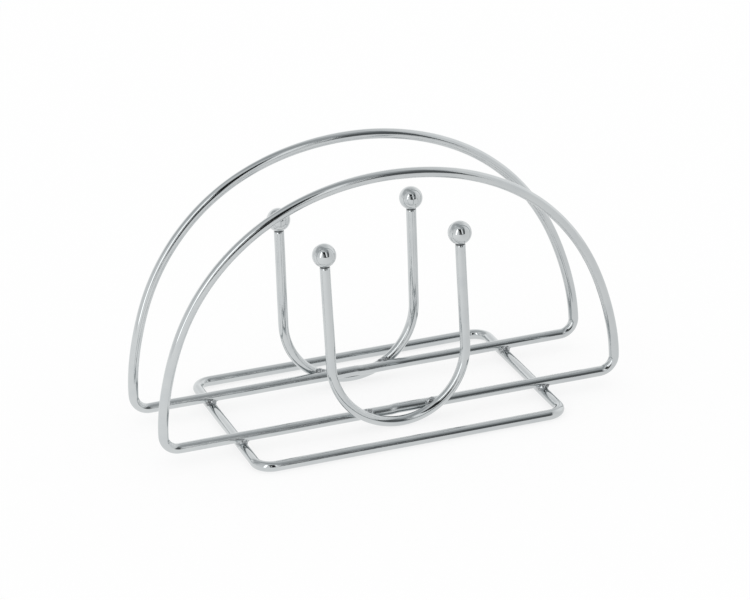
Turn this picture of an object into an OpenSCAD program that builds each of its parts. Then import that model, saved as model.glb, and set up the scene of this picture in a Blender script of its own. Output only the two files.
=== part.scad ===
// Wire napkin holder: a flat base frame, two half-moon hoops that stand across it and lean
// outward, and a ball-tipped U wire welded to the outer side of each hoop's bottom run.
// The origin is on the table under the middle of the holder, with the front at -Y.

/* [Wire] */
// Diameter of the round wire that every bent piece is made of
wire_d = 4; // [3:0.1:5.5]
// Depth that two crossing wires sink into one another at a weld
weld_sink = 0.4; // [0.2:0.05:0.7]

/* [Base frame] */
// Overall length of the base frame, left to right
base_length = 127; // [100:1:150]
// Overall depth of the base frame, front to rear
base_depth = 91; // [80:1:130]
// Centreline radius of the base frame's corner bends
base_bend_r = 6.5; // [4:0.1:15]

/* [Hoops] */
// Centreline radius of each hoop's half-circle arc
hoop_r = 92; // [85:0.5:120]
// Centreline radius of the bends between that arc and the straight bottom run
hoop_bend_r = 6; // [4:0.1:15]
// Distance between the bottom runs' centrelines, front to rear
hoop_spacing = 41; // [32:0.5:56]
// Outward lean of each hoop, in degrees
hoop_lean = 2; // [0:0.1:6]

/* [U wires] */
// Centreline radius of the round bottom of each U wire
u_r = 27.2; // [20:0.1:34]
// Height of the ball centres above the U wire's lowest centreline point
u_height = 72; // [55:0.5:82]
// Inward lean of each U wire, in degrees
u_lean = 2; // [0:0.1:6]
// Sideways offset of each U wire from the middle of its hoop, to the right seen from outside
u_shift = 2; // [0:0.1:6]
// Bevel on the arm tips inside the balls
tip_bevel = 0.4; // [0.2:0.05:0.8]

/* [Balls] */
// Diameter of the balls on the arm tips
ball_d = 9.2; // [8:0.1:14]
// Depth of the blind hole that takes the arm tip, from the ball's lowest point
ball_socket = 5.5; // [3:0.1:7]
// Width of the bevel round the mouth of that hole
ball_groove = 0.35; // [0.2:0.05:0.8]

/* [Welds] */
// How far the collar of weld metal spreads past the contact patch of hoop and base frame
weld_rim = 0.95; // [0.5:0.05:1.4]
// Radius of the drops that form the bead between hoop and U wire
bead_r = 1.1; // [0.8:0.05:1.6]
// Number of drops in one bead
bead_drops = 3; // [1:1:5]
// Distance between the drops of a bead
bead_pitch = 1; // [0.5:0.05:1.5]
// Height that the butt weld in the middle of a hoop's bottom run stands proud of the wire
butt_proud = 0.15; // [0.05:0.05:0.4]
// Width of that butt weld along the wire
butt_width = 1.6; // [0.8:0.1:3]

/* [Hidden] */
$fn = 96;
chrome = [0.80, 0.82, 0.84];
weld_grey = [0.55, 0.56, 0.58];
left = -1;
right = 1;
wire_r = wire_d / 2;
// Distance between the centrelines of two wires where they cross and are welded
cross_gap = wire_d - weld_sink;

// Base frame, on its centreline
base_x = base_length / 2 - wire_r;
base_y = base_depth / 2 - wire_r;

// Hoop: the bottom run lies on the base frame and ends where the quarter bends begin
run_y = hoop_spacing / 2;
run_z = wire_r + cross_gap;
run_half = hoop_r - hoop_bend_r;
// Circle whose crown, turned about the run, makes the butt weld's rounded ring
butt_round_r = (pow(butt_width / 2, 2) + pow(butt_proud, 2)) / (2 * butt_proud);

// U wire: its lowest point stands on the table and its plane passes the run at the weld gap
u_z = wire_r;
u_y = run_y + (cross_gap + (run_z - u_z) * sin(u_lean)) / cos(u_lean);
// Where the U wire crosses the run: height in its own plane, and angle between the two wires
u_cross_h = (run_z - u_z) * cos(u_lean) + (u_y - run_y) * sin(u_lean);
u_cross_a = acos(1 - u_cross_h / u_r);
u_cross_x = u_r * sin(u_cross_a);
u_tip = u_height - ball_d / 2 + ball_socket;

// Welds: reach of the contact patch across two wires at a right angle, and beside two that slant
contact_r = sqrt(pow(wire_r, 2) - pow(wire_r - weld_sink, 2));
crevice = sqrt(pow(wire_r, 2) - pow(cross_gap / 2, 2)) / cos(u_cross_a / 2);

// Straight wire along X, centred
module straight(length)
    rotate([0, 90, 0])
        cylinder(d = wire_d, h = length, center = true);

// Wire bent about the origin in the XY plane, between two angles
module bend(radius, from, to)
    rotate([0, 0, from])
        rotate_extrude(angle = to - from)
            translate([radius, 0])
                circle(d = wire_d);

// The base frame's two short sides, which carry the hoops
module base_sides()
    for (side = [left, right])
        translate([side * base_x, 0, wire_r])
            rotate([0, 0, 90])
                straight(2 * (base_y - base_bend_r));

module base_frame() color(chrome) {
    base_sides();
    for (side = [left, right])
        translate([0, side * base_y, wire_r])
            straight(2 * (base_x - base_bend_r));
    for (turn = [0, 180])
        rotate([0, 0, turn])
            for (flip = [0, 1])
                mirror([flip, 0, 0])
                    translate([base_x - base_bend_r, base_y - base_bend_r, wire_r])
                        bend(base_bend_r, 0, 90);
}

// Rounded ring of the butt weld that closes a hoop, about the X axis
module butt_weld()
    rotate([0, 90, 0])
        rotate_extrude()
            intersection() {
                translate([wire_r + butt_proud - butt_round_r, 0])
                    circle(r = butt_round_r);
                translate([0, -butt_width / 2])
                    square([wire_d, butt_width]);
            }

// Hoop outline in the XY plane, with the middle of its bottom run at the origin
module hoop_outline() {
    straight(2 * run_half);
    butt_weld();
    for (flip = [0, 1])
        mirror([flip, 0, 0])
            translate([run_half, hoop_bend_r])
                bend(hoop_bend_r, -90, 0);
    translate([0, hoop_bend_r])
        bend(hoop_r, 0, 180);
}

// Hoop in its place at the front, with saddles cut where it lies on the base frame
module hoop() color(chrome)
    difference() {
        translate([0, -run_y, run_z])
            rotate([90 + hoop_lean, 0, 0])
                hoop_outline();
        base_sides();
    }

// Places children given in the plane of the front U wire, whose lowest point is the origin
module in_u_plane()
    translate([u_shift, -u_y, u_z])
        rotate([90 - u_lean, 0, 0])
            children();

// Arm of a U wire, from the end of the round bottom to its tip inside the ball
module u_arm()
    rotate([-90, 0, 0]) {
        cylinder(d = wire_d, h = u_tip - u_r - tip_bevel);
        translate([0, 0, u_tip - u_r - tip_bevel])
            cylinder(d1 = wire_d, d2 = wire_d - 2 * tip_bevel, h = tip_bevel);
    }

module u_outline() {
    translate([0, u_r])
        bend(u_r, 180, 360);
    for (side = [left, right])
        translate([side * u_r, u_r])
            u_arm();
}

// Bottom run of the front hoop, seen in the plane of its U wire
module run_in_u_plane()
    translate([-u_shift, u_cross_h, -cross_gap])
        straight(2 * run_half);

// U wire in its place at the front, with saddles cut where it crosses the hoop's run
module u_wire() color(chrome)
    in_u_plane()
        difference() {
            u_outline();
            run_in_u_plane();
        }

// Ball on one arm of the front U wire, with a blind hole and a bevelled mouth
module ball(side) {
    mouth_r = wire_r + ball_groove;
    mouth_y = -sqrt(pow(ball_d / 2, 2) - pow(mouth_r, 2));
    color(chrome)
        in_u_plane()
            translate([side * u_r, u_height])
                rotate([-90, 0, 0])
                    difference() {
                        sphere(d = ball_d);
                        translate([0, 0, -ball_d / 2])
                            cylinder(d = wire_d, h = ball_socket);
                        translate([0, 0, mouth_y - wire_r])
                            cylinder(r1 = mouth_r + wire_r, r2 = wire_r, h = wire_r + ball_groove);
                    }
}

// Collars of weld metal squeezed out where the hoops lie on the base frame
module base_welds() color(weld_grey)
    for (turn = [0, 180])
        rotate([0, 0, turn])
            difference() {
                for (side = [left, right])
                    translate([side * base_x, -run_y, wire_r + cross_gap / 2])
                        sphere(r = contact_r + weld_rim);
                base_sides();
                translate([0, -run_y, run_z])
                    straight(2 * run_half);
            }

// Beads laid inside the front U wire, in the corners above the hoop's run
module u_welds() color(weld_grey)
    in_u_plane()
        difference() {
            for (side = [left, right])
                translate([side * u_cross_x, u_cross_h, -cross_gap / 2])
                    rotate([0, 0, side * u_cross_a / 2])
                        for (drop = [0 : bead_drops - 1])
                            translate([(drop - (bead_drops - 1) / 2) * bead_pitch, crevice + bead_r / 2])
                                sphere(r = bead_r);
            u_outline();
            run_in_u_plane();
        }

// The rear pieces are the front ones turned half round
module rear()
    rotate([0, 0, 180])
        children();

module front_hoop() hoop();
module rear_hoop() rear() hoop();
module front_u_wire() u_wire();
module rear_u_wire() rear() u_wire();
module front_left_ball() ball(left);
module front_right_ball() ball(right);
module rear_left_ball() rear() ball(right);
module rear_right_ball() rear() ball(left);
module front_u_welds() u_welds();
module rear_u_welds() rear() u_welds();

base_frame();
front_hoop();
rear_hoop();
front_u_wire();
rear_u_wire();
front_left_ball();
front_right_ball();
rear_left_ball();
rear_right_ball();
base_welds();
front_u_welds();
rear_u_welds();
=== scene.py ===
import math

import bpy
import numpy as np
from bpy.props import FloatProperty, FloatVectorProperty, IntProperty, PointerProperty
from mathutils import Matrix, Vector, noise


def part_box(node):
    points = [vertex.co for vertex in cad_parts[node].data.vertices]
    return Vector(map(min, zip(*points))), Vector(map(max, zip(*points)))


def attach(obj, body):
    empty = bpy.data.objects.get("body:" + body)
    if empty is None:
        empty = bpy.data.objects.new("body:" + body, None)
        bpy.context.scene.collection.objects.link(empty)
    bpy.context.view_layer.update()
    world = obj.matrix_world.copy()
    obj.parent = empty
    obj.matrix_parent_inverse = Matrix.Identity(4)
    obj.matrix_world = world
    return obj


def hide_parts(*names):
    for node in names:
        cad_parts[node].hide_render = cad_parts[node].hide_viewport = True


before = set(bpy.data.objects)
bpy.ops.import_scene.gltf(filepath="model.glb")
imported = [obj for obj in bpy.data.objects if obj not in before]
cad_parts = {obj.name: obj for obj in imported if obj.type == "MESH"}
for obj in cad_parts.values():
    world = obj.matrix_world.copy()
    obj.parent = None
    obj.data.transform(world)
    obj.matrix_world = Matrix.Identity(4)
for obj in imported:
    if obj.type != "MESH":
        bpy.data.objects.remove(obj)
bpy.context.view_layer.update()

bl_info = {
    "name": "Wire napkin holder",
    "version": (1, 0, 0),
    "blender": (4, 5, 0),
    "location": "View3D > Sidebar > Napkin holder",
    "description": "Builds a chrome wire napkin holder piece by piece round its packed solids",
    "category": "Mesh",
}

MM = 0.001
BODY = "root"
LEFT, RIGHT = -1, 1
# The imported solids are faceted, so sizes read from them are rounded to a tenth of a millimetre
TENTH_MM = 4


def node_size(node):
    """Length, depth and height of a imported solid."""
    low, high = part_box(node)
    return [round(side, TENTH_MM) for side in high - low]


def node_middle(node):
    """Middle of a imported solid's box."""
    low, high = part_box(node)
    return [round(side, TENTH_MM) for side in (low + high) / 2]


WIRE_D = node_size("base_frame")[2]
BASE_LENGTH, BASE_DEPTH = node_size("base_frame")[:2]
HOOP_R = (node_size("front_hoop")[0] - WIRE_D) / 2
U_R = (node_size("front_u_wire")[0] - WIRE_D) / 2
U_SHIFT = node_middle("front_u_wire")[0]
BALL_D = node_size("front_left_ball")[1]


def length(name, description, default):
    """A size in metres."""
    return FloatProperty(
        name=name, description=description, default=default, min=0, precision=5, unit="LENGTH"
    )


def angle(name, description, degrees):
    """An angle, kept in radians and shown in degrees."""
    return FloatProperty(name=name, description=description, default=math.radians(degrees), unit="ROTATION")


def colour(name, description, default):
    """A linear colour."""
    return FloatVectorProperty(
        name=name, description=description, default=default, min=0, max=1, size=3, subtype="COLOR"
    )


def share(name, description, default):
    """A number from 0 to 1."""
    return FloatProperty(
        name=name, description=description, default=default, min=0, max=1, subtype="FACTOR"
    )


class HolderSizes(bpy.types.PropertyGroup):
    """Sizes of the wires, balls and welds."""

    wire_d: length("Wire diameter", "Diameter of the round wire of every bent piece", WIRE_D)
    weld_sink: length("Weld sink", "Depth that two crossing wires sink into one another", 0.4 * MM)
    base_length: length("Base length", "Overall length of the base frame", BASE_LENGTH)
    base_depth: length("Base depth", "Overall depth of the base frame", BASE_DEPTH)
    base_bend_r: length("Base bend", "Centreline radius of the base frame's corners", 6.5 * MM)
    hoop_r: length("Hoop radius", "Centreline radius of a hoop's half circle", HOOP_R)
    hoop_bend_r: length("Hoop bend", "Centreline radius of a hoop's lower corners", 6 * MM)
    hoop_spring: length("Hoop spring", "How far a hoop's arc springs from a true half circle", 0.9 * MM)
    hoop_spacing: length("Hoop spacing", "Distance between the hoops' bottom runs", 41 * MM)
    hoop_lean: angle("Hoop lean", "Outward lean of each hoop", 2)
    u_r: length("U radius", "Centreline radius of the round bottom of a U wire", U_R)
    u_height: length("U height", "Height of the ball centres above a U wire's lowest point", 72 * MM)
    u_lean: angle("U lean", "Inward lean of each U wire", 2)
    u_shift: length("U shift", "Sideways offset of a U wire from the middle of its hoop", U_SHIFT)
    tip_bevel: length("Tip bevel", "Bevel on the arm tips inside the balls", 0.4 * MM)
    ball_d: length("Ball diameter", "Diameter of the balls on the arm tips", BALL_D)
    ball_socket: length("Ball socket", "Depth of the blind hole in a ball", 5.5 * MM)
    ball_groove: length("Ball groove", "Width of the bevel round the mouth of that hole", 0.35 * MM)
    bead_r: length("Bead radius", "Radius of the drops in a bead between hoop and U wire", 1.1 * MM)
    bead_pitch: length("Bead pitch", "Distance between the drops of a bead", 1 * MM)
    bead_drops: IntProperty(
        name="Bead drops", description="Number of drops in a bead", default=3, min=1, max=5
    )
    fillet: length("Weld fillet", "Reach of the weld metal in the corner between two wires", 2.4 * MM)
    weld_lumps: length("Weld lumps", "Height of the lumps on the weld metal", 0.14 * MM)
    butt_proud: length("Butt weld height", "Height of the butt weld on a hoop's run", 0.15 * MM)
    butt_width: length("Butt weld width", "Width of that butt weld along the wire", 1.6 * MM)
    butt_step: length("Butt weld step", "Offset between the two wire ends at that weld", 0.26 * MM)
    bend_flattening: share("Bend flattening", "Flattening in a bend as tight as the wire", 0.2)
    wobble: length("Wobble", "How far a wire strays from its true line between welds", 0.12 * MM)
    neck: length("Neck", "Height of the turned groove on an arm right below its ball", 0.8 * MM)
    neck_depth: length("Neck depth", "Depth of that groove", 0.28 * MM)


class HolderFinish(bpy.types.PropertyGroup):
    """Colours and gloss of the chrome."""

    chrome: colour("Chrome", "Bright chrome plate", (0.565, 0.588, 0.594))
    chrome_thin: colour("Thin chrome", "Plate where it is thinner or hazy", (0.535, 0.56, 0.57))
    ball_chrome: colour("Ball chrome", "Plate on the polished balls", (0.575, 0.597, 0.602))
    weld_metal: colour("Weld metal", "Plated weld metal on its crowns", (0.44, 0.46, 0.47))
    weld_dark: colour("Weld pits", "Dull plate in the pits and beside the welds", (0.13, 0.135, 0.14))
    # Crevice: dark grey painted into the groove between each ball and its arm, as painted shade
    crevice: colour("Crevice", "Bare metal in the groove between a ball and its arm", (0.115, 0.12, 0.125))
    gloss: share("Roughness", "Roughness of clean chrome", 0.045)
    haze: share("Haze", "Roughness that plating haze and finger marks add", 0.05)
    draw_lines: length("Draw lines", "Depth of the lines that the drawing die left on the wire", 0.022 * MM)
    weld_roughness: share("Weld roughness", "Roughness of the weld metal", 0.17)


class HolderStage(bpy.types.PropertyGroup):
    """Floor, surroundings and camera."""

    white: share("White", "Brightness of the floor and of the background", 1.0)
    shadow: share("Shadow", "How much of the holder's shadow the white floor shows", 0.25)
    mirrored: share("Mirrored shadow", "How much of that shadow the chrome mirrors", 0.05)
    falloff: share("Falloff", "How much the mirrored floor darkens away from the softbox", 0.14)
    floor_r: length("Floor radius", "Radius of the round floor", 6.0)
    horizon: share("Horizon", "Brightness of the studio walls", 0.92)
    ceiling: share("Ceiling", "Brightness of the studio ceiling", 0.80)
    dusk: colour("Dusk", "Tint of the studio's dark openings", (0.90, 0.965, 1.0))
    azimuth: angle("Azimuth", "Camera's angle from the front, to the right", -18.40)
    elevation: angle("Elevation", "Camera's angle above the floor", 22.34)
    roll: angle("Roll", "Turn of the camera about its view", -2.67)
    distance: length("Distance", "From the camera to the holder's origin, along the view", 1334.83 * MM)
    focal: FloatProperty(name="Focal length", description="In pixels of the image", default=3412.97)
    origin_u: FloatProperty(name="Origin across", description="Pixel column of the origin", default=376.61)
    origin_v: FloatProperty(name="Origin down", description="Pixel row of the origin", default=402.35)


class Derived:
    """Places that follow from the sizes."""

    def __init__(self, sizes):
        self.wire_r = sizes.wire_d / 2
        self.gap = sizes.wire_d - sizes.weld_sink
        self.base_x = sizes.base_length / 2 - self.wire_r
        self.base_y = sizes.base_depth / 2 - self.wire_r
        self.run_y = sizes.hoop_spacing / 2
        self.run_z = self.wire_r + self.gap
        self.run_half = sizes.hoop_r - sizes.hoop_bend_r
        rise = self.run_z - self.wire_r
        self.u_y = self.run_y + (self.gap + rise * math.sin(sizes.u_lean)) / math.cos(sizes.u_lean)
        self.cross_h = rise * math.cos(sizes.u_lean) + (self.u_y - self.run_y) * math.sin(sizes.u_lean)
        self.cross_a = math.acos(1 - self.cross_h / sizes.u_r)
        self.cross_x = sizes.u_r * math.sin(self.cross_a)
        self.u_tip = sizes.u_height - sizes.ball_d / 2 + sizes.ball_socket
        mouth_r = self.wire_r + sizes.ball_groove
        self.neck_h = sizes.u_height - math.sqrt((sizes.ball_d / 2) ** 2 - mouth_r**2)
        self.crevice = math.sqrt(self.wire_r**2 - (self.gap / 2) ** 2) / math.cos(self.cross_a / 2)

    def base_plane(self):
        return plane_of((0, 0, self.wire_r), (0, 1, 0))

    def hoop_plane(self, sizes):
        upward = (0, -math.sin(sizes.hoop_lean), math.cos(sizes.hoop_lean))
        return plane_of((0, -self.run_y, self.run_z), upward)

    def u_plane(self, sizes):
        upward = (0, math.sin(sizes.u_lean), math.cos(sizes.u_lean))
        return plane_of((sizes.u_shift, -self.u_y, self.wire_r), upward)

    def weld_points(self, sizes):
        """Middles of the front half's crossings: two on the base frame and two on the U wire."""
        plane, sides = self.u_plane(sizes), (LEFT, RIGHT)
        return [
            *(Vector((side * self.base_x, -self.run_y, self.wire_r + self.gap / 2)) for side in sides),
            *(plane @ Vector((side * self.cross_x, self.cross_h, -self.gap / 2)) for side in sides),
        ]


HALF_TURN = Matrix.Rotation(math.pi, 4, "Z")
HALVES = (("front", Matrix()), ("rear", HALF_TURN))


def plane_of(origin, upward):
    """Matrix from the plane of a bent wire, whose X is the frame's X, to the frame."""
    across, upward = Vector((1, 0, 0)), Vector(upward)
    matrix = Matrix((across, upward, across.cross(upward))).transposed().to_4x4()
    matrix.translation = origin
    return matrix


# Swept wires

STATION_STEP = 0.8 * MM
TURN_STEP = math.radians(5)
WIRE_FACES = 48
BEND_BLEND = 3
SPRING_FADE = 0.15
WOBBLE_WAVE = 36 * MM
RIPPLE_WAVE = 9 * MM
RIPPLE_SHARE = 0.16
STRAY_SEED = 7
HOLD_NEAR = 3 * MM
HOLD_FAR = 16 * MM
WELD_MARK_NEAR = 1.6 * MM
WELD_MARK_FAR = 3.6 * MM
STEP_FADE = 14 * MM
STEP_JOIN = 1.5 * MM
BUTT_DRESSED = 0.25
BUTT_DULL = 0.5
BUTT_LUMPS = 0.35
NECK_MOUTH, NECK_SHOULDER = 0.1, 0.2
SEEDS = {
    "base_frame": 3.7,
    "front_hoop": 11.3,
    "rear_hoop": 29.1,
    "front_u_wire": 41.9,
    "rear_u_wire": 53.3,
    "base_welds": 1.3,
    "front_u_welds": 5.7,
    "rear_u_welds": 8.9,
}


def smooth(low, high, value):
    """0 below low, 1 above high, and an even S between them."""
    t = min(max((value - low) / (high - low), 0), 1)
    return t * t * (3 - 2 * t)


class Track:
    """Centreline of a wire in its own plane, laid by going forward and turning left."""

    def __init__(self, x, y, heading, thickness=1.0):
        self.x, self.y, self.heading = x, y, heading
        self.length = 0.0
        self.stations = []
        self.mark(0.0, thickness)

    def mark(self, tightness, thickness=1.0):
        self.stations.append([self.x, self.y, self.heading, self.length, tightness, thickness])

    def forward(self, distance, thickness=1.0):
        """Goes straight on, and ends at a share of the wire's thickness."""
        count = math.ceil(distance / STATION_STEP)
        before = self.stations[-1][5]
        for i in range(1, count + 1):
            self.x += math.cos(self.heading) * distance / count
            self.y += math.sin(self.heading) * distance / count
            self.length += distance / count
            self.mark(0.0, before + (thickness - before) * i / count)
        return self

    def turn(self, radius, degrees, wire_r, spring=0.0):
        """Bends to the left on a round former. A long arc springs off it flatter and fuller-shouldered."""
        total = math.radians(degrees)
        count = math.ceil(max(total / TURN_STEP, total * radius / STATION_STEP))
        x, y = self.x - math.sin(self.heading) * radius, self.y + math.cos(self.heading) * radius
        start = self.heading
        for i in range(1, count + 1):
            t = i / count
            self.heading = start + total * t
            sprung = radius - spring * math.cos(4 * math.pi * t) * smooth(0, SPRING_FADE, min(t, 1 - t))
            self.x, self.y = x + math.sin(self.heading) * sprung, y - math.cos(self.heading) * sprung
            self.length += total * radius / count
            self.mark(wire_r / radius)
        return self


def base_track(sizes, at):
    """Base frame: four straights and four corners, from the left end of the front side."""
    long, short = 2 * (at.base_x - sizes.base_bend_r), 2 * (at.base_y - sizes.base_bend_r)
    track = Track(-long / 2, -at.base_y, 0.0)
    for side in (long, short, long, short):
        track.forward(side).turn(sizes.base_bend_r, 90, at.wire_r)
    return track


def hoop_track(sizes, at):
    """Hoop: from the butt weld in the middle of its run, round and back."""
    track = Track(0.0, 0.0, 0.0).forward(at.run_half).turn(sizes.hoop_bend_r, 90, at.wire_r)
    track.turn(sizes.hoop_r, 180, at.wire_r, sizes.hoop_spring)
    return track.turn(sizes.hoop_bend_r, 90, at.wire_r).forward(at.run_half)


def u_track(sizes, at):
    """U wire: from the left arm's tip, down, round and up to the right arm's tip."""
    tip = 1 - sizes.tip_bevel / at.wire_r
    waist = 1 - sizes.neck_depth / at.wire_r
    mouth, shoulder = sizes.neck * NECK_MOUTH, sizes.neck * NECK_SHOULDER
    groove = sizes.neck - mouth - shoulder
    socket = at.u_tip - sizes.tip_bevel - at.neck_h
    arm = at.neck_h - sizes.neck - sizes.u_r
    track = Track(-sizes.u_r, at.u_tip, -math.pi / 2, tip).forward(sizes.tip_bevel).forward(socket)
    track.forward(mouth, waist).forward(groove, waist).forward(shoulder).forward(arm)
    track.turn(sizes.u_r, 180, at.wire_r).forward(arm)
    track.forward(shoulder, waist).forward(groove, waist).forward(mouth)
    return track.forward(socket).forward(sizes.tip_bevel, tip)


def evened(values, closed):
    """Values blended with their neighbours, so that a bend's flattening starts gently."""
    for _ in range(BEND_BLEND):
        before = values[-1:] + values[:-1] if closed else values[:1] + values[:-1]
        after = values[1:] + values[:1] if closed else values[1:] + values[-1:]
        values = [(a + 2 * b + c) / 4 for a, b, c in zip(before, values, after)]
    return values


def butt_join(sizes, x):
    """Offset and swelling of the wire at a distance along the run from its butt weld."""
    step = sizes.butt_step / 2 * smooth(-STEP_JOIN, STEP_JOIN, x) - sizes.butt_step / 4
    step *= 2 * (1 - smooth(0, STEP_FADE, abs(x)))
    crown = math.cos(math.pi * x / (2 * sizes.butt_width)) ** 2 if abs(x) < sizes.butt_width else 0.0
    return step, sizes.butt_proud * BUTT_DRESSED * crown


def sweep(name, track, plane, sizes, closed, holds, welds, seed, butt=False, resting=False):
    """Round wire along a track, with the small faults of bent wire: it strays a little between its
    welds, flattens in tight bends and swells at a butt weld. A resting wire keeps to its plane."""
    at = Derived(sizes)
    noise.seed_set(STRAY_SEED)
    stations = track.stations[:-1] if closed else track.stations
    tightness = evened([s[4] for s in stations], closed)
    turn = plane.to_3x3()
    out = turn @ Vector((0, 0, 1))
    shift = Vector((seed, 2 * seed, 3 * seed))
    vertices, marks, groove_shade_marks = [], [], []
    for (x, y, heading, along, _, thickness), tight in zip(stations, tightness):
        side = turn @ Vector((-math.sin(heading), math.cos(heading), 0))
        centre = plane @ Vector((x, y, 0))
        hold = smooth(HOLD_NEAR, HOLD_FAR, min((centre - h).length for h in holds))
        stray = noise.noise_vector(centre / WOBBLE_WAVE + shift)
        stray += RIPPLE_SHARE * noise.noise_vector(centre / RIPPLE_WAVE + shift)
        in_plane, out_plane = stray.dot(side), 0.0 if resting else stray.dot(out)
        centre = centre + (in_plane * side + out_plane * out) * sizes.wobble * hold
        swell = dull = 0.0
        if butt:
            from_weld = along if along < track.length / 2 else along - track.length
            step, swell = butt_join(sizes, from_weld)
            dull = BUTT_DULL * (1 - smooth(sizes.butt_width / 2, 2 * sizes.butt_width, abs(from_weld)))
            centre = centre + side * step
        flat = sizes.bend_flattening * tight
        bulge = 0.0 if resting else flat / 4
        # Mask of the painted shade in the neck groove below each ball
        groove_shade_marks += [min((1 - thickness) * at.wire_r / sizes.neck_depth, 1.0)] * WIRE_FACES
        for k in range(WIRE_FACES):
            turned = 2 * math.pi * k / WIRE_FACES
            lump = swell * (1 + BUTT_LUMPS * noise.noise(Vector((turned, seed, along / MM))))
            radius = at.wire_r * thickness + lump
            offset = side * math.cos(turned) * (1 - flat / 2) + out * math.sin(turned) * (1 + bulge)
            vertex = centre + offset * radius
            vertices.append(vertex)
            near = min((vertex - w).length for w in welds)
            mark = 1 - smooth(WELD_MARK_NEAR, WELD_MARK_FAR, near)
            marks.append(max(mark, dull))
    mesh = wire_mesh(name, vertices, [s[3] for s in stations], track.length, closed, sizes.wire_d)
    add_mask(mesh, "weld_near", marks)
    add_mask(mesh, "crevice", groove_shade_marks)
    return mesh


def smooth_mesh(name, vertices, faces):
    """Mesh that is shaded as one round skin."""
    mesh = bpy.data.meshes.new(name)
    mesh.from_pydata(vertices, [], faces)
    mesh.shade_smooth()
    return mesh


def add_mask(mesh, name, values):
    """Value at each vertex that the finishes read."""
    mesh.attributes.new(name, "FLOAT", "POINT").data.foreach_set("value", np.array(values, np.float32))


def wire_mesh(name, vertices, along, total, closed, wire_d):
    """Mesh of a swept wire, with a map whose X runs along the wire and whose Y goes round it."""
    rings = len(along)
    spans = rings if closed else rings - 1
    reach = along + [total]
    round_step = math.pi * wire_d / WIRE_FACES
    faces, coordinates = [], []
    for i in range(spans):
        j = (i + 1) % rings
        for k in range(WIRE_FACES):
            m = (k + 1) % WIRE_FACES
            faces.append([i * WIRE_FACES + k, i * WIRE_FACES + m, j * WIRE_FACES + m, j * WIRE_FACES + k])
            low, high = round_step * k, round_step * (k + 1)
            coordinates += [(reach[i], low), (reach[i], high), (reach[i + 1], high), (reach[i + 1], low)]
    if not closed:
        for ring, order in ((0, -1), (rings - 1, 1)):
            faces.append([ring * WIRE_FACES + k for k in range(WIRE_FACES)][::order])
            coordinates += [(reach[ring], round_step * k) for k in range(WIRE_FACES)][::order]
    mesh = smooth_mesh(name, vertices, faces)
    layer = mesh.uv_layers.new(name="wire_map")
    layer.data.foreach_set("uv", np.array(coordinates, np.float32).ravel())
    return mesh


# Balls

BALL_RINGS = 40
BALL_FACES = 72
RIM_STEPS = (0.04, 0.12, 0.5, 0.88, 1.0)
HOLE_STEPS = (0.05, 0.5, 1.0)


def turned_skin(tip, profile, sides):
    """Vertices and faces of a skin turned about Z, from its tip through rings of radius and height."""
    vertices = [Vector((0, 0, tip))]
    for radius, height in profile:
        for k in range(sides):
            turned = 2 * math.pi * k / sides
            vertices.append(Vector((radius * math.cos(turned), radius * math.sin(turned), height)))
    faces = [[0, 1 + k, 1 + (k + 1) % sides] for k in range(sides)]
    for i in range(len(profile) - 1):
        a, b = 1 + i * sides, 1 + (i + 1) * sides
        for k in range(sides):
            m = (k + 1) % sides
            faces.append([a + k, b + k, b + m, a + m])
    return vertices, faces


def ball_mesh(name, sizes):
    """Ball with a blind hole and a bevelled mouth, turned about Z with its middle at the origin."""
    radius, bore = sizes.ball_d / 2, sizes.wire_d / 2
    mouth = bore + sizes.ball_groove
    mouth_angle = math.pi - math.asin(mouth / radius)
    mouth_z = radius * math.cos(mouth_angle)
    end_z = sizes.ball_socket - radius
    steps = [mouth_angle * i / BALL_RINGS for i in range(1, BALL_RINGS + 1)]
    profile = [(radius * math.sin(step), radius * math.cos(step)) for step in steps]
    # The bevel is rounded over at the ball's skin, runs down to the wire, and the hole goes up from there
    rim = sizes.ball_groove
    profile += [(mouth - rim * t, mouth_z + rim * t) for t in RIM_STEPS]
    profile += [(bore, mouth_z + rim + (end_z - mouth_z - rim) * t) for t in HOLE_STEPS]
    vertices, faces = turned_skin(radius, profile, BALL_FACES)
    last = 1 + (len(profile) - 1) * BALL_FACES
    faces.append([last + k for k in range(BALL_FACES)][::-1])
    mesh = smooth_mesh(name, vertices, faces)
    bevel = 1 + (BALL_RINGS - 1) * BALL_FACES
    # The bevel and the hole round the arm get the groove's painted shade
    add_mask(mesh, "crevice", [0.0] * bevel + [1.0] * (len(vertices) - bevel))
    return mesh


# Welds

WELD_CELL = 0.14 * MM
WELD_REACH = 4.4 * MM
WELD_PLUG = 3.6 * MM
WELD_HIDDEN = 0.09 * MM
BEAD_BLEND = 0.5 * MM
BEAD_CREEP = 0.6 * MM
BEAD_VARIETY, BEAD_PHASE = 0.12, 2.1
SKIN_SMOOTHING, SKIN_ROUNDS = 0.5, 3
LUMP_PITCH, LUMP_CROSS, LUMP_PEAK = 0.36, 0.5, 1.6
LUMP_WAVES = ((5.1, 1.7, -2.3), (-1.9, 4.6, 3.1), (2.7, -3.3, 5.3), (-6.2, -4.9, 1.2))


def blended(a, b, reach):
    """Lower of two distances, rounded over where they are alike, and how much that corner is filled."""
    fill = np.maximum(reach - np.abs(a - b), 0) / reach
    return np.minimum(a, b) - fill * fill * reach / 4, fill


def lumps(points, seed):
    """Uneven skin of solidified weld metal, about -1 to 1."""
    a, b, c, d = (
        np.sin(points / MM @ np.array(wave) * LUMP_PITCH + seed * (i + 1))
        for i, wave in enumerate(LUMP_WAVES)
    )
    return (a * b + c * d + LUMP_CROSS * a * d) / LUMP_PEAK


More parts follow.
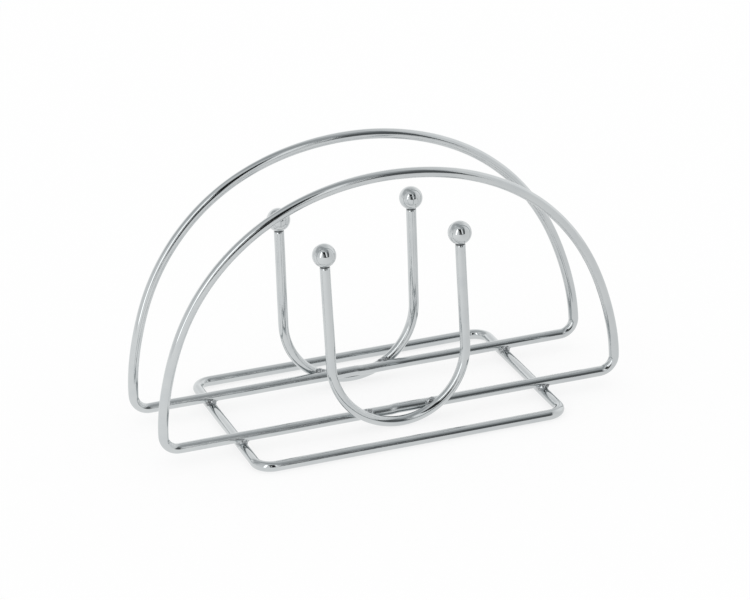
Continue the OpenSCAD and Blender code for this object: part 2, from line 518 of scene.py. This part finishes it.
def skin_of(field, middle):
    """Vertices and faces where a field of distances round a middle passes through zero."""
    count = math.ceil(2 * WELD_REACH / WELD_CELL) + 1
    axis = (np.arange(count) - (count - 1) / 2) * WELD_CELL
    value = field(np.stack(np.meshgrid(axis, axis, axis, indexing="ij"), -1))
    total = np.zeros(value.shape + (3,))
    tally = np.zeros(value.shape)
    quads = []
    for d in range(3):
        low, high = np.moveaxis(value, d, 0)[:-1], np.moveaxis(value, d, 0)[1:]
        low, high = np.moveaxis(low, 0, d), np.moveaxis(high, 0, d)
        edge = np.argwhere((low < 0) != (high < 0))
        a, b = low[tuple(edge.T)], high[tuple(edge.T)]
        point = edge.astype(float)
        point[:, d] += a / (a - b)
        ring = []
        for across, up in ((0, 0), (-1, 0), (-1, -1), (0, -1)):
            cell = edge.copy()
            cell[:, (d + 1) % 3] += across
            cell[:, (d + 2) % 3] += up
            np.add.at(total, tuple(cell.T), point)
            np.add.at(tally, tuple(cell.T), 1)
            ring.append(np.ravel_multi_index(tuple(cell.T), value.shape))
        ring = np.stack(ring, 1)
        ring[a > 0] = ring[a > 0][:, ::-1]
        quads.append(ring)
    used = tally > 0
    number = np.full(value.size, -1)
    number[used.ravel()] = np.arange(used.sum())
    vertices = (total[used] / tally[used][:, None]) * WELD_CELL + axis[0] + np.array(middle)
    return vertices, number[np.concatenate(quads)]


def base_weld(sizes, at, seed):
    """Collar squeezed out between a hoop's run, along X, and the base frame's side, along Y."""

    def field(p):
        wire = at.wire_r - WELD_HIDDEN
        lower = np.hypot(p[..., 0], p[..., 2] + at.gap / 2) - wire
        upper = np.hypot(p[..., 1], p[..., 2] - at.gap / 2) - wire
        metal, fill = blended(lower, upper, sizes.fillet)
        metal = metal + sizes.weld_lumps * fill * lumps(p, seed)
        return np.maximum(metal, np.linalg.norm(p, axis=-1) - WELD_PLUG)

    return field


def u_weld(sizes, at, side, seed):
    """Bead laid inside the U wire above the hoop's run, and the fillet between the two."""
    middle = np.array((side * at.cross_x, at.cross_h, -at.gap / 2))
    tilt = side * at.cross_a / 2
    drops = []
    for drop in range(sizes.bead_drops):
        x = (drop - (sizes.bead_drops - 1) / 2) * sizes.bead_pitch - side * BEAD_CREEP
        y = at.crevice + sizes.bead_r / 2 + BEAD_CREEP / 2
        drops.append((x * math.cos(tilt) - y * math.sin(tilt), x * math.sin(tilt) + y * math.cos(tilt), 0))

    def field(p):
        wire = at.wire_r - WELD_HIDDEN
        q = p + middle
        run = np.hypot(q[..., 1] - at.cross_h, q[..., 2] + at.gap) - wire
        bent = np.hypot(np.hypot(q[..., 0], q[..., 1] - sizes.u_r) - sizes.u_r, q[..., 2]) - wire
        metal, fill = blended(run, bent, sizes.fillet / 3)
        for i, drop in enumerate(drops):
            size = sizes.bead_r * (1 + BEAD_VARIETY * math.sin(seed + BEAD_PHASE * i))
            metal, joined = blended(metal, np.linalg.norm(p - np.array(drop), axis=-1) - size, BEAD_BLEND)
            fill = np.maximum(fill, joined)
        metal = metal + sizes.weld_lumps * fill * lumps(p, seed)
        return np.maximum(metal, np.linalg.norm(p, axis=-1) - WELD_PLUG)

    return field


def weld_mesh(name, blobs):
    """One mesh of several blobs of weld metal, each with its field, middle and place."""
    vertices, faces = [], []
    for field, middle, place in blobs:
        points, quads = skin_of(field, middle)
        faces += (quads + len(vertices)).tolist()
        vertices += [place @ Vector(p) for p in points]
    return smooth_mesh(name, vertices, faces)


# Finishes

NODE_STEP = 190
# Noises as scale, detail and roughness, with the clouds' scale left to a socket, and where masks rise
DRAW_ALONG, DRAW_NOISE = 45.0, (1.0, 3.0, 0.6)
CLOUD_NOISE, CLOUD_RISE = (4.0, 0.55), (0.35, 0.72)
PEEL_NOISE = (1600.0, 2.0)
SMUDGE_NOISE, SMUDGE_RISE = (75.0, 5.0, 0.62), (0.52, 0.70)
HAIR_STRETCH, HAIR_NOISE, HAIR_WIDTH = (700.0, 160.0, 380.0), (1.0, 2.0), 0.012
PATCH_NOISE, PATCH_RISE = (110.0, 1.0), (0.48, 0.62)
SPECK_NOISE, BLOTCH_NOISE = (1900.0, 3.0, 0.65), (520.0, 2.0)
SCALE_GAIN, SCALE_LEAST, SCALE_RISE = 0.22, 0.265, (-0.04, 0.06)
PIT_CELLS, PIT_RISE = 2300.0, (0.12, 0.5)
# How strong each fault is in the roughness and the height of a finish
WIRE_WEAR, BALL_WEAR = 0.6, 0.8
BALL_CLOUD_SIZE, WELD_CLOUD_SIZE = 320.0, 700.0
WELD_NEARNESS = 0.95
WIRE_CLOUD_HAZE, BALL_CLOUD_HAZE = 0.4, 0.3
SCALE_DULL, NEAR_DULL, GROOVE_DULL, SCRATCH_DULL = 0.30, 0.12, 0.45, 0.10
PEEL_HEIGHT, SCRATCH_DEPTH, SCALE_HEIGHT = 0.05, 0.07, 0.6
BALL_SCRATCH_DEPTH, BALL_GLOSS = 0.6, 0.8
WELD_SMOOTHEST, WELD_ROUGHEST = 0.6, 1.6
PIT_HEIGHT = 0.5
WIRE_BUMP, BALL_BUMP, WELD_BUMP = 0.3, 0.5, 0.5
BALL_RELIEF, WELD_RELIEF = 0.004 * MM, 0.02 * MM


def feed(tree, socket, value):
    """Sets a socket to a value, or links it to the socket that feeds it."""
    if isinstance(value, bpy.types.NodeSocket):
        tree.links.new(value, socket)
    else:
        socket.default_value = value


def add_node(tree, kind, inputs=None, **settings):
    """A node with its settings and inputs, each a value or the socket that feeds it."""
    node = tree.nodes.new(kind)
    node.location.x = NODE_STEP * len(tree.nodes)
    for key, value in settings.items():
        setattr(node, key, value)
    for key, value in (inputs or {}).items():
        feed(tree, node.inputs[key], value)
    return node


def math_node(tree, operation, a, b=0.0):
    return add_node(tree, "ShaderNodeMath", {0: a, 1: b}, operation=operation).outputs[0]


def times(tree, a, b):
    return math_node(tree, "MULTIPLY", a, b)


def plus(tree, a, b):
    return math_node(tree, "ADD", a, b)


def vector_node(tree, operation, a, b, output="Vector"):
    return add_node(tree, "ShaderNodeVectorMath", {0: a, 1: b}, operation=operation).outputs[output]


def remap(tree, value, low, high, to_low=0.0, to_high=1.0, steps="SMOOTHSTEP"):
    inputs = {"Value": value, "From Min": low, "From Max": high, "To Min": to_low, "To Max": to_high}
    return add_node(tree, "ShaderNodeMapRange", inputs, interpolation_type=steps).outputs["Result"]


def mix_colour(tree, factor, a, b):
    node = add_node(tree, "ShaderNodeMix", {0: factor, 6: a, 7: b}, data_type="RGBA")
    return node.outputs[2]


def noise_value(tree, vector, scale, detail=2.0, roughness=0.5):
    inputs = {"Vector": vector, "Scale": scale, "Detail": detail, "Roughness": roughness}
    return add_node(tree, "ShaderNodeTexNoise", inputs).outputs["Fac"]


def new_group(name, inputs, outputs):
    """Empty node group with its input and output sockets. Inputs without a default are vectors."""
    group = bpy.data.node_groups.new(name, "ShaderNodeTree")
    for socket, default in inputs.items():
        kind = "NodeSocketVector" if default is None else "NodeSocketFloat"
        made = group.interface.new_socket(socket, in_out="INPUT", socket_type=kind)
        if default is not None:
            made.default_value = default
    for socket in outputs:
        group.interface.new_socket(socket, in_out="OUTPUT", socket_type="NodeSocketFloat")
    return group, group.nodes.new("NodeGroupInput").outputs, group.nodes.new("NodeGroupOutput").inputs


def drawn_lines_group():
    """Fine lines that the drawing die leaves along a wire, from its map."""
    inputs = {"Wire map": None, "Lines per metre": 9000.0}
    group, given, put = new_group("Drawn lines", inputs, ["Height"])
    scale = add_node(group, "ShaderNodeCombineXYZ", {"X": DRAW_ALONG, "Y": given["Lines per metre"]})
    stretched = vector_node(group, "MULTIPLY", given["Wire map"], scale.outputs[0])
    group.links.new(noise_value(group, stretched, *DRAW_NOISE), put["Height"])
    return group


def plating_group():
    """Cloudy thickness of the plate, and its fine orange peel."""
    inputs = {"Place": None, "Cloud size": 130.0}
    group, given, put = new_group("Plating", inputs, ["Clouds", "Peel"])
    clouds = noise_value(group, given["Place"], given["Cloud size"], *CLOUD_NOISE)
    group.links.new(remap(group, clouds, *CLOUD_RISE), put["Clouds"])
    group.links.new(noise_value(group, given["Place"], *PEEL_NOISE), put["Peel"])
    return group


def handling_group():
    """Finger marks and hairline scratches from use."""
    group, given, put = new_group("Handling", {"Place": None, "Wear": 0.5}, ["Smudge", "Scratch"])
    smudge = remap(group, noise_value(group, given["Place"], *SMUDGE_NOISE), *SMUDGE_RISE)
    group.links.new(times(group, smudge, given["Wear"]), put["Smudge"])
    slanted = vector_node(group, "MULTIPLY", given["Place"], HAIR_STRETCH)
    hair = math_node(group, "SUBTRACT", noise_value(group, slanted, *HAIR_NOISE), 0.5)
    line = remap(group, math_node(group, "ABSOLUTE", hair), 0.0, HAIR_WIDTH, 1.0, 0.0)
    patch = remap(group, noise_value(group, given["Place"], *PATCH_NOISE), *PATCH_RISE)
    group.links.new(times(group, times(group, line, patch), given["Wear"]), put["Scratch"])
    return group


def weld_scale_group():
    """Burnt scale: dark specks and pits that thicken towards a weld."""
    group, given, put = new_group("Weld scale", {"Place": None, "Nearness": 1.0}, ["Scale", "Pits"])
    specks = noise_value(group, given["Place"], *SPECK_NOISE)
    blotches = noise_value(group, given["Place"], *BLOTCH_NOISE)
    reach = plus(group, times(group, given["Nearness"], SCALE_GAIN), SCALE_LEAST)
    mixed = plus(group, times(group, specks, 0.5), times(group, blotches, 0.5))
    bare = remap(group, math_node(group, "SUBTRACT", reach, mixed), *SCALE_RISE)
    group.links.new(times(group, bare, given["Nearness"]), put["Scale"])
    cells = add_node(group, "ShaderNodeTexVoronoi", {"Vector": given["Place"], "Scale": PIT_CELLS})
    group.links.new(remap(group, cells.outputs["Distance"], *PIT_RISE), put["Pits"])
    return group


GROUPS = {
    "Drawn lines": drawn_lines_group,
    "Plating": plating_group,
    "Handling": handling_group,
    "Weld scale": weld_scale_group,
}


def place_group(tree, name, inputs):
    """A shared node group in a material, made on its first use."""
    group = bpy.data.node_groups.get(name) or GROUPS[name]()
    return add_node(tree, "ShaderNodeGroup", inputs, node_tree=group).outputs


def new_material(name):
    """Empty material with its output; returns the material, its tree and the output's surface socket."""
    material = bpy.data.materials.new(name)
    material.use_nodes = True
    tree = material.node_tree
    tree.nodes.clear()
    output = tree.nodes.new("ShaderNodeOutputMaterial")
    return material, tree, output.inputs["Surface"]


def bump(tree, height, strength, distance):
    inputs = {"Height": height, "Strength": strength, "Distance": distance}
    return add_node(tree, "ShaderNodeBump", inputs).outputs["Normal"]


def object_place(tree):
    return add_node(tree, "ShaderNodeTexCoord").outputs["Object"]


def groove_shade_mask(tree):
    """Where shade is painted: the groove between a ball and its arm."""
    return add_node(tree, "ShaderNodeAttribute", attribute_name="crevice").outputs["Fac"]


def opaque(rgb):
    return (*rgb, 1.0)


def metal(tree, surface, base, rough, normal):
    """Puts a metal shader on a material's surface."""
    inputs = {"Base Color": base, "Metallic": 1.0, "Roughness": rough, "Normal": normal}
    shader = add_node(tree, "ShaderNodeBsdfPrincipled", inputs)
    tree.links.new(shader.outputs[0], surface)


def chrome_wire_material(name, finish):
    """Bright chrome on drawn wire: clouds in the plate, finger marks, draw lines, scale beside welds, and
    painted shade in the groove below each ball.
    """
    material, tree, surface = new_material(name)
    place = object_place(tree)
    wire_map = add_node(tree, "ShaderNodeUVMap", uv_map="wire_map").outputs["UV"]
    near = add_node(tree, "ShaderNodeAttribute", attribute_name="weld_near").outputs["Fac"]
    lines = place_group(tree, "Drawn lines", {"Wire map": wire_map})
    plate = place_group(tree, "Plating", {"Place": place})
    marks = place_group(tree, "Handling", {"Place": place, "Wear": WIRE_WEAR})
    burnt = place_group(tree, "Weld scale", {"Place": place, "Nearness": near})
    clean = mix_colour(tree, plate["Clouds"], opaque(finish.chrome), opaque(finish.chrome_thin))
    base = mix_colour(tree, burnt["Scale"], clean, opaque(finish.weld_dark))
    # Dark grey painted into the groove below each ball: painted shade
    bare = groove_shade_mask(tree)
    base = mix_colour(tree, bare, base, opaque(finish.crevice))
    hazy = plus(tree, times(tree, plate["Clouds"], WIRE_CLOUD_HAZE), marks["Smudge"])
    rough = remap(tree, hazy, 0.0, 1.0, finish.gloss, finish.gloss + finish.haze, "LINEAR")
    dull = plus(tree, times(tree, burnt["Scale"], SCALE_DULL), times(tree, near, NEAR_DULL))
    rough = plus(tree, rough, math_node(tree, "MAXIMUM", dull, times(tree, bare, GROOVE_DULL)))
    rough = plus(tree, rough, times(tree, marks["Scratch"], SCRATCH_DULL))
    height = plus(tree, lines["Height"], times(tree, plate["Peel"], PEEL_HEIGHT))
    height = math_node(tree, "SUBTRACT", height, times(tree, marks["Scratch"], SCRATCH_DEPTH))
    height = plus(tree, height, times(tree, burnt["Scale"], SCALE_HEIGHT))
    metal(tree, surface, base, rough, bump(tree, height, WIRE_BUMP, finish.draw_lines))
    return material


def chrome_ball_material(name, finish):
    """Chrome on polished balls: smoother than the wire, with a faint peel and finger marks, and painted
    shade round the mouth of the hole.
    """
    material, tree, surface = new_material(name)
    place = object_place(tree)
    plate = place_group(tree, "Plating", {"Place": place, "Cloud size": BALL_CLOUD_SIZE})
    marks = place_group(tree, "Handling", {"Place": place, "Wear": BALL_WEAR})
    base = mix_colour(tree, plate["Clouds"], opaque(finish.ball_chrome), opaque(finish.chrome_thin))
    # Dark grey in the bevel and hole round the arm: painted shade
    base = mix_colour(tree, groove_shade_mask(tree), base, opaque(finish.crevice))
    hazy = plus(tree, times(tree, plate["Clouds"], BALL_CLOUD_HAZE), marks["Smudge"])
    gloss = finish.gloss * BALL_GLOSS
    rough = remap(tree, hazy, 0.0, 1.0, gloss, finish.gloss + finish.haze, "LINEAR")
    height = math_node(tree, "SUBTRACT", plate["Peel"], times(tree, marks["Scratch"], BALL_SCRATCH_DEPTH))
    metal(tree, surface, base, rough, bump(tree, height, BALL_BUMP, BALL_RELIEF))
    return material


def weld_material(name, finish):
    """Plated weld metal: lumpy, pitted and duller than the wire."""
    material, tree, surface = new_material(name)
    place = object_place(tree)
    plate = place_group(tree, "Plating", {"Place": place, "Cloud size": WELD_CLOUD_SIZE})
    burnt = place_group(tree, "Weld scale", {"Place": place, "Nearness": WELD_NEARNESS})
    base = mix_colour(tree, burnt["Scale"], opaque(finish.weld_metal), opaque(finish.weld_dark))
    least, most = finish.weld_roughness * WELD_SMOOTHEST, finish.weld_roughness * WELD_ROUGHEST
    rough = remap(tree, burnt["Scale"], 0.0, 1.0, least, most, "LINEAR")
    height = plus(tree, times(tree, burnt["Pits"], PIT_HEIGHT), plate["Clouds"])
    metal(tree, surface, base, rough, bump(tree, height, WELD_BUMP, WELD_RELIEF))
    return material


FINISHES = {
    "chrome_wire": ("Chrome wire", chrome_wire_material),
    "chrome_ball": ("Chrome ball", chrome_ball_material),
    "weld": ("Weld metal", weld_material),
}


# Stage

# Name, azimuth from the front, elevation, turn, half width, half height, soft edge, and brightness
STUDIO_PANELS = (
    ("rear left grey card", -134.0, 37.0, 0.0, 30.0, 16.0, 8.0, 0.60),
    ("right flag", 28.6, 32.2, -13.8, 9.4, 36.1, 0.6, 0.13),
    ("right flag's faded top", 33.0, 58.0, -13.8, 9.4, 14.0, 12.0, 0.42),
    ("front opening", -7.3, 23.6, 0.9, 18.3, 27.4, 0.6, 0.02),
    ("left softbox", -51.8, 12.8, -5.0, 6.3, 38.9, 1.7, 2.3),
    ("opening's bright post", 6.0, 27.7, -0.4, 5.0, 23.9, 2.3, 1.16),
    ("roof gap", -5.0, 89.0, 28.3, 12.7, 38.7, 6.1, 0.50),
    ("opening's bright edge", -19.1, 10.0, 2.4, 1.2, 22.8, 1.3, 1.35),
    ("right wall", 101.0, 22.6, 3.3, 22.9, 31.8, 18.7, 1.12),
    ("top flag", -23.0, 51.2, 1.5, 13.3, 3.8, 3.2, 0.07),
    ("rear wall", 174.0, 9.0, 0.0, 44.0, 20.0, 10.0, 1.12),
)
CEILING_FROM, CEILING_TO = math.radians(29), math.radians(49)
IMAGE_W, IMAGE_H = 750, 600
SENSOR_MM = 36.0
FLOOR_RINGS = (0.2, 0.5, 1.2, 3.0)
FLOOR_FACES = 96
FLOOR_PALE, FLOOR_DULL, FLOOR_NOISE = 0.985, 0.98, (3.0, 3.0)
FALLOFF_FROM, FALLOFF_REACH = math.radians(-100), 0.16


def studio_panel_group():
    """Mask of a soft-edged panel seen in some direction from the middle of the studio."""
    inputs = dict.fromkeys(("Direction", "Facing", "Across", "Upward"))
    inputs.update({"Half width": 0.2, "Half height": 0.2, "Edge": 0.02})
    group, given, put = new_group("Studio panel", inputs, ["Mask"])
    ahead, side, up = (
        vector_node(group, "DOT_PRODUCT", given["Direction"], given[axis], "Value")
        for axis in ("Facing", "Across", "Upward")
    )
    level = math_node(group, "SQRT", plus(group, times(group, ahead, ahead), times(group, side, side)))
    mask = None
    for value, against, half in ((side, ahead, "Half width"), (up, level, "Half height")):
        off = math_node(group, "ABSOLUTE", math_node(group, "ARCTAN2", value, against))
        inner = math_node(group, "SUBTRACT", given[half], given["Edge"])
        outer = plus(group, given[half], given["Edge"])
        within = remap(group, off, inner, outer, 1.0, 0.0)
        mask = within if mask is None else times(group, mask, within)
    group.links.new(mask, put["Mask"])
    return group


GROUPS["Studio panel"] = studio_panel_group


def direction(azimuth, elevation):
    """Unit vector at an azimuth from the front, to the right, and an elevation."""
    flat = math.cos(elevation)
    return Vector((math.sin(azimuth) * flat, -math.cos(azimuth) * flat, math.sin(elevation)))


def turned_axes(azimuth, elevation, turn):
    """Facing, across and upward directions of a panel or a camera in the studio."""
    facing = direction(azimuth, elevation)
    level = Vector((math.cos(azimuth), math.sin(azimuth), 0))
    upright = facing.cross(level)
    across = math.cos(turn) * level + math.sin(turn) * upright
    return facing, across, math.cos(turn) * upright - math.sin(turn) * level


def studio_world(stage):
    """White surroundings; mirror-like surfaces also see the studio's flags and softbox in them."""
    world = bpy.data.worlds.new("Studio")
    world.use_nodes = True
    tree = world.node_tree
    tree.nodes.clear()
    way = add_node(tree, "ShaderNodeTexCoord").outputs["Generated"]
    height = add_node(tree, "ShaderNodeSeparateXYZ", {0: way}).outputs["Z"]
    up_angle = math_node(tree, "ARCSINE", height)
    level = remap(tree, up_angle, CEILING_FROM, CEILING_TO, stage.horizon, stage.ceiling)
    for name, azimuth, elevation, turn, half_w, half_h, edge, brightness in STUDIO_PANELS:
        facing, across, upward = turned_axes(*(math.radians(a) for a in (azimuth, elevation, turn)))
        inputs = {
            "Direction": way,
            "Facing": facing,
            "Across": across,
            "Upward": upward,
            "Half width": math.radians(half_w),
            "Half height": math.radians(half_h),
            "Edge": math.radians(edge),
        }
        mask = place_group(tree, "Studio panel", inputs)["Mask"]
        mix = add_node(tree, "ShaderNodeMix", {"Factor": mask, "A": level, "B": brightness}, label=name)
        level = mix.outputs["Result"]
    glossy = add_node(tree, "ShaderNodeLightPath").outputs["Is Glossy Ray"]
    tint = mix_colour(tree, level, opaque(stage.dusk), opaque([1.0] * 3))
    cool = add_node(tree, "ShaderNodeVectorMath", {0: tint, "Scale": level}, operation="SCALE")
    seen = mix_colour(tree, glossy, opaque([stage.white] * 3), cool.outputs["Vector"])
    background = add_node(tree, "ShaderNodeBackground", {"Color": seen, "Strength": 1.0})
    output = add_node(tree, "ShaderNodeOutputWorld")
    tree.links.new(background.outputs[0], output.inputs["Surface"])
    bpy.context.scene.world = world


def floor_material(stage):
    """Matt white floor; what is seen of it, straight or in the chrome, is mostly plain white. In the chrome
    it glows brighter towards the softbox and dimmer away from it: a painted light falloff.
    """
    material, tree, surface = new_material("Studio floor")
    place = object_place(tree)
    uneven = noise_value(tree, place, *FLOOR_NOISE)
    base = mix_colour(tree, uneven, opaque([FLOOR_PALE] * 3), opaque([FLOOR_DULL] * 3))
    matt = add_node(tree, "ShaderNodeBsdfDiffuse", {"Color": base}).outputs[0]
    ray = add_node(tree, "ShaderNodeLightPath").outputs
    # Painted light: for rays off the chrome the floor's glow is brighter on the softbox side and dimmer
    # away from it
    aside = vector_node(tree, "DOT_PRODUCT", place, direction(FALLOFF_FROM, 0), "Value")
    far, near = stage.white * (1 - stage.falloff / 2), stage.white * (1 + stage.falloff / 2)
    lit = remap(tree, aside, -FALLOFF_REACH, FALLOFF_REACH, far, near)
    tone = add_node(tree, "ShaderNodeMix", {"Factor": ray["Is Glossy Ray"], "A": stage.white, "B": lit})
    white = add_node(tree, "ShaderNodeEmission", {"Color": tone.outputs["Result"], "Strength": 1.0})
    straight = math_node(tree, "MAXIMUM", ray["Is Camera Ray"], ray["Is Transmission Ray"])
    straight = times(tree, straight, 1 - stage.shadow)
    mirrored = times(tree, ray["Is Glossy Ray"], 1 - stage.mirrored)
    plain = math_node(tree, "MAXIMUM", straight, mirrored)
    shader = add_node(tree, "ShaderNodeMixShader", {0: plain, 1: matt, 2: white.outputs[0]})
    tree.links.new(shader.outputs[0], surface)
    return material


def new_object(data):
    """Object in the scene for a mesh or a camera."""
    made = bpy.data.objects.new(data.name, data)
    bpy.context.scene.collection.objects.link(made)
    return made


def studio_floor(stage):
    """Round floor in rings, finest under the holder."""
    rings = [(radius, 0) for radius in (*FLOOR_RINGS, stage.floor_r)]
    vertices, faces = turned_skin(0, rings, FLOOR_FACES)
    mesh = smooth_mesh("studio_floor", vertices, faces)
    mesh.materials.append(floor_material(stage))
    floor = new_object(mesh)


def studio_camera(stage):
    """Camera that stands where the photograph was taken from."""
    back, across, upward = turned_axes(stage.azimuth, stage.elevation, stage.roll)
    aside = (stage.origin_u - IMAGE_W / 2) / stage.focal * stage.distance
    above = -(stage.origin_v - IMAGE_H / 2) / stage.focal * stage.distance
    data = bpy.data.cameras.new("studio_camera")
    data.sensor_width = SENSOR_MM
    data.lens = stage.focal / IMAGE_W * SENSOR_MM
    camera = new_object(data)
    matrix = Matrix((across, upward, back)).transposed().to_4x4()
    matrix.translation = back * stage.distance - across * aside - upward * above
    camera.matrix_world = matrix
    bpy.context.scene.camera = camera


# Operators

def add_piece(mesh, finish, slot, *nodes):
    """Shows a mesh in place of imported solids, riding on the holder's one body."""
    name, dress = FINISHES[slot]
    mesh.materials.append(bpy.data.materials.get(name) or dress(name, finish))
    piece = new_object(mesh)
    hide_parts(*nodes)
    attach(piece, BODY)
    return piece


class PieceOperator:
    """What the operators that make pieces share."""

    bl_options = {"REGISTER", "UNDO"}

    def execute(self, context):
        sizes, finish = context.scene.holder_sizes, context.scene.holder_finish
        self.build(sizes, finish, Derived(sizes))
        return {"FINISHED"}


class HOLDER_OT_base_frame(PieceOperator, bpy.types.Operator):
    """Bend the base frame's wire to a rounded rectangle"""

    bl_idname = "napkin_holder.base_frame"
    bl_label = "Base frame"

    def build(self, sizes, finish, at):
        front = at.weld_points(sizes)[:2]
        welds = front + [HALF_TURN @ w for w in front]
        track, seed = base_track(sizes, at), SEEDS["base_frame"]
        mesh = sweep(
            "base_frame_wire", track, at.base_plane(), sizes, True, welds, welds, seed, resting=True
        )
        add_piece(mesh, finish, "chrome_wire", "base_frame")


class HOLDER_OT_hoops(PieceOperator, bpy.types.Operator):
    """Bend the two half-moon hoops and close each with a butt weld"""

    bl_idname = "napkin_holder.hoops"
    bl_label = "Hoops"

    def build(self, sizes, finish, at):
        welds = at.weld_points(sizes)
        plane = at.hoop_plane(sizes)
        for end, place in HALVES:
            name = end + "_hoop"
            track, seed = hoop_track(sizes, at), SEEDS[name]
            mesh = sweep(name + "_wire", track, plane, sizes, True, welds, welds, seed, butt=True)
            mesh.transform(place)
            add_piece(mesh, finish, "chrome_wire", name)


class HOLDER_OT_u_wires(PieceOperator, bpy.types.Operator):
    """Bend the two U wires whose arms carry the balls"""

    bl_idname = "napkin_holder.u_wires"
    bl_label = "U wires"

    def build(self, sizes, finish, at):
        welds = at.weld_points(sizes)[2:]
        plane = at.u_plane(sizes)
        tips = [plane @ Vector((side * sizes.u_r, at.u_tip, 0)) for side in (LEFT, RIGHT)]
        holds = [*welds, *tips, plane @ Vector((0, 0, 0))]
        for end, place in HALVES:
            name = end + "_u_wire"
            track, seed = u_track(sizes, at), SEEDS[name]
            mesh = sweep(name + "_bent", track, plane, sizes, False, holds, welds, seed)
            mesh.transform(place)
            add_piece(mesh, finish, "chrome_wire", name)


class HOLDER_OT_balls(PieceOperator, bpy.types.Operator):
    """Turn the four balls and press them on the arm tips"""

    bl_idname = "napkin_holder.balls"
    bl_label = "Balls"

    def build(self, sizes, finish, at):
        plane = at.u_plane(sizes)
        upright = plane @ Matrix.Rotation(-math.pi / 2, 4, "X")
        for (end, place), words in zip(HALVES, (("left", "right"), ("right", "left"))):
            for side, word in zip((LEFT, RIGHT), words):
                name = f"{end}_{word}_ball"
                mesh = ball_mesh(name + "_turned", sizes)
                middle = plane @ Vector((side * sizes.u_r, sizes.u_height, 0))
                mesh.transform(place @ Matrix.Translation(middle) @ upright.to_3x3().to_4x4())
                add_piece(mesh, finish, "chrome_ball", name)


class HOLDER_OT_welds(PieceOperator, bpy.types.Operator):
    """Lay the weld metal at every crossing"""

    bl_idname = "napkin_holder.welds"
    bl_label = "Welds"

    def build(self, sizes, finish, at):
        plane = at.u_plane(sizes)
        collars = []
        for turn, (_, place) in enumerate(HALVES):
            for i, middle in enumerate(at.weld_points(sizes)[:2]):
                seed = SEEDS["base_welds"] + 2 * turn + i
                collars.append((base_weld(sizes, at, seed), middle, place))
        pieces = [("base_welds", collars)]
        for end, place in HALVES:
            name, beads = end + "_u_welds", []
            for side in (LEFT, RIGHT):
                middle = Vector((side * at.cross_x, at.cross_h, -at.gap / 2))
                beads.append((u_weld(sizes, at, side, SEEDS[name] + side), middle, place @ plane))
            pieces.append((name, beads))
        for name, blobs in pieces:
            piece = add_piece(weld_mesh(name + "_laid", blobs), finish, "weld", name)
            rounding = piece.modifiers.new("Rounded skin", "SMOOTH")
            rounding.factor, rounding.iterations = SKIN_SMOOTHING, SKIN_ROUNDS


class HOLDER_OT_stage(bpy.types.Operator):
    """Set up the white studio and the camera"""

    bl_idname = "napkin_holder.stage"
    bl_label = "Stage"
    bl_options = {"REGISTER", "UNDO"}

    def execute(self, context):
        stage = context.scene.holder_stage
        context.scene.view_settings.view_transform = "Standard"
        studio_world(stage)
        studio_floor(stage)
        studio_camera(stage)
        return {"FINISHED"}


class HOLDER_PT_sidebar(bpy.types.Panel):
    """Sizes, finishes and steps of the napkin holder"""

    bl_label = "Napkin holder"
    bl_idname = "HOLDER_PT_sidebar"
    bl_space_type = "VIEW_3D"
    bl_region_type = "UI"
    bl_category = "Napkin holder"

    def draw(self, context):
        for operator in OPERATORS:
            self.layout.operator(operator.bl_idname)
        for name in PROPERTY_GROUPS:
            group = getattr(context.scene, name)
            box = self.layout.box()
            for key in group.__annotations__:
                box.prop(group, key)


PROPERTY_GROUPS = {"holder_sizes": HolderSizes, "holder_finish": HolderFinish, "holder_stage": HolderStage}
OPERATORS = (
    HOLDER_OT_base_frame,
    HOLDER_OT_hoops,
    HOLDER_OT_u_wires,
    HOLDER_OT_balls,
    HOLDER_OT_welds,
    HOLDER_OT_stage,
)
CLASSES = (*PROPERTY_GROUPS.values(), *OPERATORS, HOLDER_PT_sidebar)


def register():
    for cls in CLASSES:
        bpy.utils.register_class(cls)
    for key, cls in PROPERTY_GROUPS.items():
        setattr(bpy.types.Scene, key, PointerProperty(type=cls))


def unregister():
    for key in PROPERTY_GROUPS:
        delattr(bpy.types.Scene, key)
    for cls in reversed(CLASSES):
        bpy.utils.unregister_class(cls)


def main():
    register()
    bpy.ops.napkin_holder.base_frame()
    bpy.ops.napkin_holder.hoops()
    bpy.ops.napkin_holder.u_wires()
    bpy.ops.napkin_holder.balls()
    bpy.ops.napkin_holder.welds()
    bpy.ops.napkin_holder.stage()


if __name__ == "__main__":
    main()
